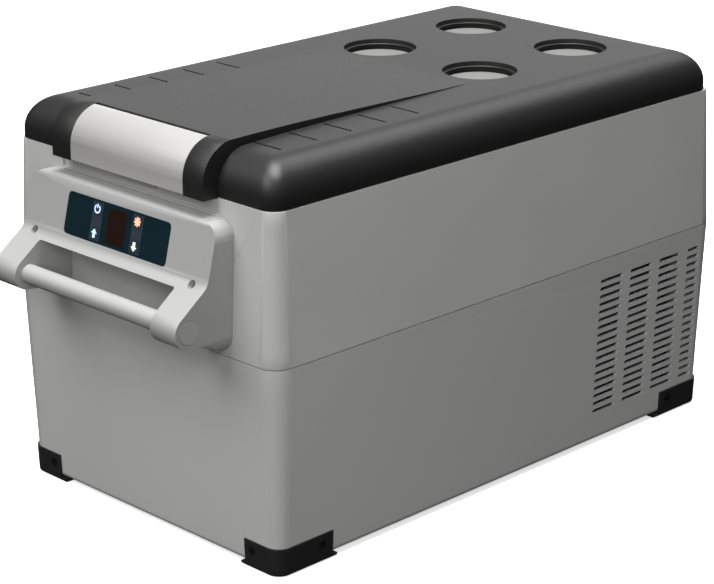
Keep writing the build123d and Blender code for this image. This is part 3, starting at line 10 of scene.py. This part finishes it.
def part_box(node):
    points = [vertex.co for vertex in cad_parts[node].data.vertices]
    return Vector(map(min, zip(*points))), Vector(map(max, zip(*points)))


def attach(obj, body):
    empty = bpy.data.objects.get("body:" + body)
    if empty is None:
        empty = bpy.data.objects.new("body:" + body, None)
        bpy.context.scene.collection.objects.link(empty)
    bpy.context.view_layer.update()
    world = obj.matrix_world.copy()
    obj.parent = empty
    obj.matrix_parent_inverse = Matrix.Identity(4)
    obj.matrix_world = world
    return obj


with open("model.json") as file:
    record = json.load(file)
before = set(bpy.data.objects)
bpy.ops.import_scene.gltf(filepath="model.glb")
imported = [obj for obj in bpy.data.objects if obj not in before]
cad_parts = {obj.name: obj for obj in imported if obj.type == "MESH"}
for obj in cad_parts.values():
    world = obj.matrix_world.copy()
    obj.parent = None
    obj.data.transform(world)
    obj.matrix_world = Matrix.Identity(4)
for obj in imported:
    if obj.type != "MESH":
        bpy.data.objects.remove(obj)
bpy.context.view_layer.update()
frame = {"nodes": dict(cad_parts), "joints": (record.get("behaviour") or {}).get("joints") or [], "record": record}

MM = 0.001
NODES = frame["nodes"]

# ------------------------------------------------------------------ camera and light
CAMERA_AZIMUTH = math.radians(44.76)
CAMERA_ELEVATION = math.radians(18.05)
CAMERA_DISTANCE = 2.0622
CAMERA_TARGET = Vector((0, 0, 0.180))
CAMERA_LENS = 119.69
CAMERA_SHIFT = (-0.02895, -0.07127)


def add_camera():
    """The photograph's viewing angle, with the lens shift that its crop needs."""
    data = bpy.data.cameras.new("camera")
    data.sensor_width = 36
    data.lens = CAMERA_LENS
    data.shift_x, data.shift_y = CAMERA_SHIFT
    camera = bpy.data.objects.new("camera", data)
    back = Vector((math.sin(CAMERA_AZIMUTH) * math.cos(CAMERA_ELEVATION),
                   -math.cos(CAMERA_AZIMUTH) * math.cos(CAMERA_ELEVATION),
                   math.sin(CAMERA_ELEVATION)))
    camera.location = CAMERA_TARGET + back * CAMERA_DISTANCE
    camera.rotation_euler = (-back).to_track_quat("-Z", "Y").to_euler()
    bpy.context.scene.collection.objects.link(camera)
    bpy.context.scene.camera = camera


# each soft panel: where it stands, what it faces, its width and height, and its power
LIGHTS = {
    "key_high": ((-0.6, -2.2, 2.6), (0, -0.1, 0.2), (2.4, 1.8), 64),
    "camera_side": ((1.9, -2.0, 1.3), (0.1, -0.2, 0.15), (1.7, 1.7), 47),
    "back_left": ((-2.4, 2.4, 1.0), (0, 0, 0.3), (3.2, 1.4), 18),
    "roll_strip": ((-0.15, 2.2, 2.6), (0.15, 0, 0.3), (2.0, 1.0), 26),
    "overhead": ((0, 0, 3.2), (0, 0, 0.3), (1.6, 1.6), 152),
}
# panels left out of reflections, which would turn the lid white from behind
UNREFLECTED = ("camera_side",)
WORLD_STRENGTH = 0.03


def add_area_light(name, place, target, size, power):
    """A large soft panel at place that faces target."""
    data = bpy.data.lights.new(name, "AREA")
    data.shape = "RECTANGLE"
    data.size, data.size_y = size
    data.energy = power
    lamp = bpy.data.objects.new(name, data)
    lamp.location = place
    lamp.rotation_euler = (Vector(target) - Vector(place)).to_track_quat("-Z", "Y").to_euler()
    lamp.visible_glossy = name not in UNREFLECTED
    bpy.context.scene.collection.objects.link(lamp)


def add_world():
    """Even, pale surroundings."""
    world = bpy.data.worlds.new("studio")
    world.use_nodes = True
    background = world.node_tree.nodes["Background"]
    background.inputs["Color"].default_value = (1.0, 1.0, 1.0, 1)
    background.inputs["Strength"].default_value = WORLD_STRENGTH
    bpy.context.scene.world = world


# ------------------------------------------------------------------ material building blocks
# noise stays near its middle, so ramps and ranges are stretched over this part of it
NOISE_LOW = 0.3
NOISE_HIGH = 0.7
# noise sizes in cells per metre, and relief heights in metres
DRIFT_CELLS = 7.0
LENS_CELLS = 500.0
FOAM_CELLS = 700.0
GLOW_CELLS = 260.0
BRUSH_CELLS = 60.0
BRUSH_STRETCH = (1, 1, 30)
GRAIN_HEIGHT = 0.2 * MM
BRUSH_HEIGHT = 0.1 * MM
LENS_HEIGHT = 0.3 * MM
FOAM_HEIGHT = 0.4 * MM
# where an edge counts as worn, and how it looks there
WORN_FROM = 0.52
WORN_TO = 0.60
WORN_SHARE = 0.5
WORN_LIGHTER = 0.2
# how far the roughness wanders either way in a grain, and upwards in a brushed metal
GRAIN_SPREAD = 0.05
BRUSH_SPREAD = 0.12
COAT_ROUGHNESS = 0.12


def new_material(name):
    """A material with its node tree and its main shader."""
    material = bpy.data.materials.new(name)
    material.use_nodes = True
    return material, material.node_tree, material.node_tree.nodes["Principled BSDF"]


def add_noise(tree, scale, detail, stretch=(1, 1, 1)):
    """Noise in the object's own space, in cells per metre."""
    place = tree.nodes.new("ShaderNodeTexCoord")
    mapping = tree.nodes.new("ShaderNodeMapping")
    mapping.inputs["Scale"].default_value = stretch
    noise = tree.nodes.new("ShaderNodeTexNoise")
    noise.inputs["Scale"].default_value = scale
    noise.inputs["Detail"].default_value = detail
    tree.links.new(place.outputs["Object"], mapping.inputs["Vector"])
    tree.links.new(mapping.outputs["Vector"], noise.inputs["Vector"])
    return noise


def add_ramp(tree, factor, dark, light, low=NOISE_LOW, high=NOISE_HIGH):
    """Maps a factor to a colour between dark and light."""
    ramp = tree.nodes.new("ShaderNodeValToRGB")
    ramp.color_ramp.elements[0].position = low
    ramp.color_ramp.elements[1].position = high
    ramp.color_ramp.elements[0].color = (*dark, 1)
    ramp.color_ramp.elements[1].color = (*light, 1)
    tree.links.new(factor, ramp.inputs["Fac"])
    return ramp.outputs["Color"]


def add_range(tree, factor, low, high):
    """Maps a noise factor to a number between low and high."""
    spread = tree.nodes.new("ShaderNodeMapRange")
    spread.inputs["From Min"].default_value = NOISE_LOW
    spread.inputs["From Max"].default_value = NOISE_HIGH
    spread.inputs["To Min"].default_value = low
    spread.inputs["To Max"].default_value = high
    tree.links.new(factor, spread.inputs["Value"])
    return spread.outputs["Result"]


def add_bump(tree, shader, height, strength, distance):
    """Surface relief from a height signal."""
    bump = tree.nodes.new("ShaderNodeBump")
    bump.inputs["Strength"].default_value = strength
    bump.inputs["Distance"].default_value = distance
    tree.links.new(height, bump.inputs["Height"])
    tree.links.new(bump.outputs["Normal"], shader.inputs["Normal"])


def scaled(colour, factor):
    """A colour made lighter or darker."""
    return tuple(min(1.0, c * factor) for c in colour)


def moulded(name, colour, roughness, grain=900.0, relief=0.12, drift=0.035, coat=0.0):
    """Moulded plastic or rubber: faint colour drift, a fine grain and slightly polished edges."""
    material, tree, shader = new_material(name)
    drift_noise = add_noise(tree, DRIFT_CELLS, 3.0)
    base = add_ramp(tree, drift_noise.outputs["Fac"], scaled(colour, 1 - drift),
                    scaled(colour, 1 + drift))
    worn = tree.nodes.new("ShaderNodeMix")
    worn.data_type = "RGBA"
    worn.inputs["B"].default_value = (*scaled(colour, 1 + WORN_LIGHTER), 1)
    geometry = tree.nodes.new("ShaderNodeNewGeometry")
    edges = tree.nodes.new("ShaderNodeMapRange")
    edges.inputs["From Min"].default_value = WORN_FROM
    edges.inputs["From Max"].default_value = WORN_TO
    edges.inputs["To Max"].default_value = WORN_SHARE
    tree.links.new(geometry.outputs["Pointiness"], edges.inputs["Value"])
    tree.links.new(edges.outputs["Result"], worn.inputs["Factor"])
    tree.links.new(base, worn.inputs["A"])
    tree.links.new(worn.outputs["Result"], shader.inputs["Base Color"])
    grain_noise = add_noise(tree, grain, 2.0)
    dullness = add_range(tree, grain_noise.outputs["Fac"], roughness - GRAIN_SPREAD,
                         roughness + GRAIN_SPREAD)
    tree.links.new(dullness, shader.inputs["Roughness"])
    shader.inputs["Specular IOR Level"].default_value = 0.5
    shader.inputs["Coat Weight"].default_value = coat
    shader.inputs["Coat Roughness"].default_value = COAT_ROUGHNESS
    add_bump(tree, shader, grain_noise.outputs["Fac"], relief, GRAIN_HEIGHT)
    return material


def metal(name, colour, roughness):
    """Bare metal with fine drawn lines."""
    material, tree, shader = new_material(name)
    shader.inputs["Metallic"].default_value = 1.0
    lines = add_noise(tree, BRUSH_CELLS, 4.0, BRUSH_STRETCH)
    tree.links.new(add_ramp(tree, lines.outputs["Fac"], scaled(colour, 0.88), colour),
                   shader.inputs["Base Color"])
    tree.links.new(add_range(tree, lines.outputs["Fac"], roughness, roughness + BRUSH_SPREAD),
                   shader.inputs["Roughness"])
    add_bump(tree, shader, lines.outputs["Fac"], 0.15, BRUSH_HEIGHT)
    return material


def lamp_lens(name):
    """A frosted white lens."""
    material, tree, shader = new_material(name)
    noise = add_noise(tree, LENS_CELLS, 2.0)
    tree.links.new(add_ramp(tree, noise.outputs["Fac"], (0.80, 0.84, 0.88), (0.90, 0.93, 0.96)),
                   shader.inputs["Base Color"])
    shader.inputs["Roughness"].default_value = 0.35
    shader.inputs["Subsurface Weight"].default_value = 0.2
    add_bump(tree, shader, noise.outputs["Fac"], 0.3, LENS_HEIGHT)
    return material


def foam(name, colour):
    """Closed-cell foam."""
    material, tree, shader = new_material(name)
    cells = tree.nodes.new("ShaderNodeTexVoronoi")
    cells.inputs["Scale"].default_value = FOAM_CELLS
    place = tree.nodes.new("ShaderNodeTexCoord")
    tree.links.new(place.outputs["Object"], cells.inputs["Vector"])
    tree.links.new(add_ramp(tree, cells.outputs["Distance"], scaled(colour, 0.8), colour, 0.0, 0.6),
                   shader.inputs["Base Color"])
    shader.inputs["Roughness"].default_value = 0.9
    add_bump(tree, shader, cells.outputs["Distance"], 0.5, FOAM_HEIGHT)
    return material


def lit_mark(name, colour, glow):
    """A printed mark with a lamp behind it, a little uneven across its face."""
    material, tree, shader = new_material(name)
    noise = add_noise(tree, GLOW_CELLS, 2.0)
    tint = add_ramp(tree, noise.outputs["Fac"], scaled(colour, 0.72), colour)
    tree.links.new(tint, shader.inputs["Base Color"])
    tree.links.new(tint, shader.inputs["Emission Color"])
    shader.inputs["Emission Strength"].default_value = glow
    shader.inputs["Roughness"].default_value = 0.4
    return material


# ------------------------------------------------------------------ materials and floor
SHELL_GREY = (0.46, 0.46, 0.455)
HANDLE_GREY = (0.32, 0.32, 0.316)
LID_CHARCOAL = (0.0115, 0.0115, 0.0113)
BLACK = (0.016, 0.016, 0.0165)

MATERIALS = {
    "shell_grey": moulded("shell_grey", SHELL_GREY, 0.52),
    "handle_grey": moulded("handle_grey", HANDLE_GREY, 0.42, grain=1400.0, relief=0.05),
    "liner_white": moulded("liner_white", (0.36, 0.364, 0.364), 0.25, relief=0.02),
    "foam": foam("foam", (0.78, 0.72, 0.48)),
    "aluminium": metal("aluminium", (0.80, 0.81, 0.82), 0.30),
    "steel": metal("steel", (0.62, 0.62, 0.63), 0.32),
    "fastener": metal("fastener", (0.10, 0.10, 0.105), 0.38),
    "compressor_black": moulded("compressor_black", (0.012, 0.012, 0.013), 0.22, coat=0.5),
    "black_plastic": moulded("black_plastic", BLACK, 0.48, grain=1100.0, relief=0.2),
    "rubber": moulded("rubber", (0.020, 0.020, 0.020), 0.75, relief=0.25),
    "copper": metal("copper", (0.80, 0.42, 0.26), 0.24),
    "panel": moulded("panel", (0.0045, 0.0140, 0.0200), 0.16, relief=0.0, drift=0.08, coat=0.3),
    "key": moulded("key", (0.020, 0.036, 0.050), 0.25, relief=0.02),
    "digits": moulded("digits", (0.0130, 0.0052, 0.0040), 0.20, relief=0.0),
    "board": moulded("board", (0.010, 0.09, 0.035), 0.40, grain=400.0),
    "lid_charcoal": moulded("lid_charcoal", LID_CHARCOAL, 0.46, grain=1000.0, relief=0.10),
    "cup_grey": moulded("cup_grey", (0.170, 0.170, 0.166), 0.55, relief=0.15),
    "latch_white": moulded("latch_white", (0.345, 0.342, 0.337), 0.34, grain=1400.0, relief=0.03),
    "lens": lamp_lens("lens"),
    "probe": metal("probe", (0.75, 0.75, 0.75), 0.18),
}


FLOOR_HALF = 12.0
FLOOR_GLOW = 0.6
FLOOR_SHADE = (0.90, 0.90, 0.90)
FLOOR_PAPER = (0.93, 0.93, 0.93)
FLOOR_MOTTLE = 3.0


def add_floor():
    """A plain pale floor, large enough to fill every view."""
    mesh = bpy.data.meshes.new("floor")
    corners = [(x * FLOOR_HALF, y * FLOOR_HALF, 0) for x, y in ((-1, -1), (1, -1), (1, 1), (-1, 1))]
    mesh.from_pydata(corners, [], [(0, 1, 2, 3)])
    floor = bpy.data.objects.new("floor", mesh)
    material, tree, shader = new_material("floor_paper")
    shader.inputs["Roughness"].default_value = 0.9
    shader.inputs["Specular IOR Level"].default_value = 0.1
    noise = add_noise(tree, FLOOR_MOTTLE, 2.0)
    tint = add_ramp(tree, noise.outputs["Fac"], FLOOR_SHADE, FLOOR_PAPER)
    tree.links.new(tint, shader.inputs["Base Color"])
    tree.links.new(tint, shader.inputs["Emission Color"])
    shader.inputs["Emission Strength"].default_value = FLOOR_GLOW
    mesh.materials.append(material)
    bpy.context.scene.collection.objects.link(floor)
    floor.visible_diffuse = False
    floor.visible_glossy = False


# ------------------------------------------------------------------ softened edges
# edge radius of each moulded piece, in millimetres
EDGE_RADIUS = {
    "front_handle_frame": 1.6,
    "rear_handle_frame": 1.6,
    "latch_lever": 0.7,
    "lid_shell": 0.8,
    "foot_front_left": 1.3,
    "foot_front_right": 1.3,
    "foot_rear_left": 1.3,
    "foot_rear_right": 1.3,
    "upper_shell": 0.5,
    "power_module": 0.6,
    "terminal_cover": 0.6,
    "hinge_leaves": 0.5,
    "hinge_base_left": 0.5,
    "hinge_base_right": 0.5,
    "fuse_cap": 0.5,
    "power_inlet": 0.5,
}
SHARP_ANGLE = math.radians(32)
WELD_REACH = 0.01 * MM
EDGE_STEPS = 3


def soften_edges(node, radius):
    """Rounds a moulding's sharp edges; the mesh itself stays as it came."""
    weld = node.modifiers.new("weld", "WELD")
    weld.merge_threshold = WELD_REACH
    bevel = node.modifiers.new("edge radius", "BEVEL")
    bevel.width = radius * MM
    bevel.segments = EDGE_STEPS
    bevel.limit_method = "ANGLE"
    bevel.angle_limit = SHARP_ANGLE
    bevel.use_clamp_overlap = True
    bevel.harden_normals = True


def dress_cad_nodes():
    """Gives every CAD node that stays the material of its slot, and rounds the sharp edges of the pieces listed in
    EDGE_RADIUS.
    """
    slots = {s["node"]: s["material_slot"] for s in frame["record"]["subparts"]}
    for name, node in NODES.items():
        node.data.materials.clear()
        node.data.materials.append(MATERIALS[slots[name]])
    for name, radius in EDGE_RADIUS.items():
        soften_edges(NODES[name], radius)


# ------------------------------------------------------------------ control panel
def joint_axis(name):
    """Direction of a joint, as a unit vector."""
    joint = next(j for j in frame["joints"] if j["name"] == name)
    return Vector(joint["axis"]).normalized()


PANEL_OUT = -joint_axis("power_press")
PANEL_RIGHT = Vector((1, 0, 0))
PANEL_UP = PANEL_OUT.cross(PANEL_RIGHT)
KEY_BODIES = ("key_power", "key_set", "key_up", "key_down")
KEY_HOLE = 9.4 * MM
KEY_HOLE_CORNER = 0.4 * MM
STRIP_CORNER = 0.6 * MM
DIGIT_CORNER = 0.8 * MM
STRIP_WIDTH = 12.2 * MM
STRIP_HEIGHT = 31.0 * MM
DIGIT_WIDTH = 21.8 * MM
DIGIT_HEIGHT = 27.5 * MM
FILM = 0.06 * MM


def middle(node):
    """Centre of a CAD node's box."""
    low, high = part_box(node)
    return (low + high) / 2


def panel_place(point, lift):
    """A matrix that lays a flat drawing on the panel at point, lifted off it."""
    axes = Matrix((PANEL_RIGHT, PANEL_UP, PANEL_OUT)).transposed()
    return Matrix.Translation(point + PANEL_OUT * lift) @ axes.to_4x4()


def face_of(node):
    """Where the panel's own axis through a node's middle meets that node's outer face."""
    centre = middle(node)
    reach = max((v.co - centre).dot(PANEL_OUT) for v in NODES[node].data.vertices)
    return centre + PANEL_OUT * reach


def flat_piece(name, outlines, thickness, material):
    """A thin plate from closed outlines; an outline inside another one is a hole."""
    data = bpy.data.curves.new(name, "CURVE")
    data.dimensions = "2D"
    data.fill_mode = "BOTH"
    data.extrude = thickness
    for outline in outlines:
        spline = data.splines.new("POLY")
        spline.points.add(len(outline) - 1)
        for point, (x, y) in zip(spline.points, outline):
            point.co = (x, y, 0, 1)
        spline.use_cyclic_u = True
    data.materials.append(material)
    piece = bpy.data.objects.new(name, data)
    bpy.context.scene.collection.objects.link(piece)
    return piece


def rounded_outline(width, height, radius, centre=(0, 0), steps=5):
    """Points round a rounded rectangle."""
    points = []
    for quarter in range(4):
        side_x = 1 if quarter in (0, 3) else -1
        side_y = 1 if quarter < 2 else -1
        for step in range(steps + 1):
            angle = math.pi / 2 * (quarter + step / steps)
            points.append((centre[0] + side_x * (width / 2 - radius) + radius * math.cos(angle),
                           centre[1] + side_y * (height / 2 - radius) + radius * math.sin(angle)))
    return points


def ring_outline(outer, inner, start, end, steps=28):
    """Points round an open ring between two angles, in degrees."""
    angles = [math.radians(start + (end - start) * step / steps) for step in range(steps + 1)]
    rim = [(outer * math.cos(a), outer * math.sin(a)) for a in angles]
    return rim + [(inner * math.cos(a), inner * math.sin(a)) for a in reversed(angles)]


def gear_outline(outer, root, teeth):
    """Points round a gear."""
    points = []
    for tooth in range(teeth):
        for share, radius in ((0.0, outer), (0.45, outer), (0.55, root), (0.9, root)):
            angle = 2 * math.pi * (tooth + share) / teeth
            points.append((radius * math.cos(angle), radius * math.sin(angle)))
    return points


def arrow_outline(size, turn):
    """Points of a broad arrow that points up for turn 1 and down for turn -1."""
    head = [(0, 1), (0.95, 0.05), (0.4, 0.05), (0.4, -0.95), (-0.4, -0.95), (-0.4, 0.05),
            (-0.95, 0.05)]
    return [(size * x, turn * size * y) for x, y in head]


MARK = 3.7 * MM
MARK_GLOW = 0.8
# degrees between which the power mark's ring is closed; the rest is its gap at the top
RING_START = 125
RING_END = 415
GEAR_TEETH = 8
MARKS = {
    "key_power": [ring_outline(MARK, 0.66 * MARK, RING_START, RING_END),
                  rounded_outline(0.34 * MARK, 0.95 * MARK, 0.1 * MARK, (0, 0.62 * MARK))],
    "key_set": [gear_outline(1.05 * MARK, 0.74 * MARK, GEAR_TEETH),
                ring_outline(0.36 * MARK, 0.34 * MARK, 0, 350)],
    "key_up": [arrow_outline(MARK, 1)],
    "key_down": [arrow_outline(MARK, -1)],
}
MARK_COLOURS = {
    "key_power": (0.55, 0.66, 1.0),
    "key_set": (1.0, 0.46, 0.30),
    "key_up": (0.50, 0.68, 1.0),
    "key_down": (0.80, 0.80, 0.78),
}


def add_panel_details():
    """The strips behind the keys, the digit window and the lit marks on the keys."""
    panel = face_of("panel_window")
    strip_material = moulded("key_strip", (0.026, 0.034, 0.046), 0.22, relief=0.02)
    for side in (-1, 1):
        keys = [middle(k) for k in KEY_BODIES if (middle(k) - panel).dot(PANEL_RIGHT) * side > 0]
        column = sum(((k - panel).dot(PANEL_RIGHT) for k in keys)) / len(keys)
        holes = [rounded_outline(KEY_HOLE, KEY_HOLE, KEY_HOLE_CORNER, (0, (k - panel).dot(PANEL_UP)))
                 for k in keys]
        strip = flat_piece("key_strip_left" if side < 0 else "key_strip_right",
                           [rounded_outline(STRIP_WIDTH, STRIP_HEIGHT, STRIP_CORNER), *holes],
                           FILM, strip_material)
        strip.matrix_world = panel_place(panel + PANEL_RIGHT * column, FILM)
        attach(strip, "cabinet")
    window = flat_piece("digit_window", [rounded_outline(DIGIT_WIDTH, DIGIT_HEIGHT, DIGIT_CORNER)],
                        FILM, MATERIALS["digits"])
    window.matrix_world = panel_place(panel, FILM)
    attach(window, "cabinet")
    for body in KEY_BODIES:
        material = lit_mark(f"{body}_mark", MARK_COLOURS[body], MARK_GLOW)
        mark = flat_piece(f"{body}_mark", MARKS[body], FILM, material)
        mark.matrix_world = panel_place(face_of(body), FILM)
        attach(mark, body)


# ------------------------------------------------------------------ cup recesses
CUP_NAMES = ("cup_left_front", "cup_left_rear", "cup_right_front", "cup_right_rear")
LEDGE_OUT = 2.1 * MM
LEDGE_DEEP = 2.6 * MM
LEDGE_TALL = 0.9 * MM
LEDGE_RISE = 4.2 * MM
LEDGE_STEPS = 72
LEDGE_FLAT = 0.85        # share of the ledge's depth that is level
LEDGE_LIP = 0.7          # share of its height that stands upright at the inner edge


def add_cup_ledges():
    """A narrow step round the inside of each cup recess."""
    openings = {o["name"]: o["box_m"] for o in frame["record"]["physics"]["openings"]}
    disc_low, disc_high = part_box("cup_discs")
    places = {name: (Vector(openings[name][0]) + Vector(openings[name][1])) / 2 for name in CUP_NAMES}
    outer = disc_high.x - max(place.x for place in places.values()) + LEDGE_OUT
    base = disc_high.z + LEDGE_RISE
    section = [(outer, base), (outer, base + LEDGE_TALL),
               (outer - LEDGE_DEEP * LEDGE_FLAT, base + LEDGE_TALL),
               (outer - LEDGE_DEEP, base + LEDGE_TALL * LEDGE_LIP), (outer - LEDGE_DEEP, base)]
    for name, place in places.items():
        mesh = bmesh.new()
        rings = []
        for step in range(LEDGE_STEPS):
            angle = 2 * math.pi * step / LEDGE_STEPS
            rings.append([mesh.verts.new((place.x + radius * math.cos(angle),
                                          place.y + radius * math.sin(angle), height))
                          for radius, height in section])
        for ring, after in zip(rings, rings[1:] + rings[:1]):
            for corner in range(len(section)):
                beside = (corner + 1) % len(section)
                mesh.faces.new((ring[corner], after[corner], after[beside], ring[beside]))
        bmesh.ops.recalc_face_normals(mesh, faces=mesh.faces)
        data = bpy.data.meshes.new(f"{name}_ledge")
        mesh.to_mesh(data)
        mesh.free()
        data.materials.append(MATERIALS["lid_charcoal"])
        ledge = bpy.data.objects.new(f"{name}_ledge", data)
        bpy.context.scene.collection.objects.link(ledge)
        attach(ledge, "lid")


# ------------------------------------------------------------------ the scene
add_camera()
add_world()
add_floor()
for light_name, (place, target, size, power) in LIGHTS.items():
    add_area_light(light_name, place, target, size, power)
dress_cad_nodes()
add_panel_details()
add_cup_ledges()

bpy.context.scene.view_settings.view_transform = "Standard"
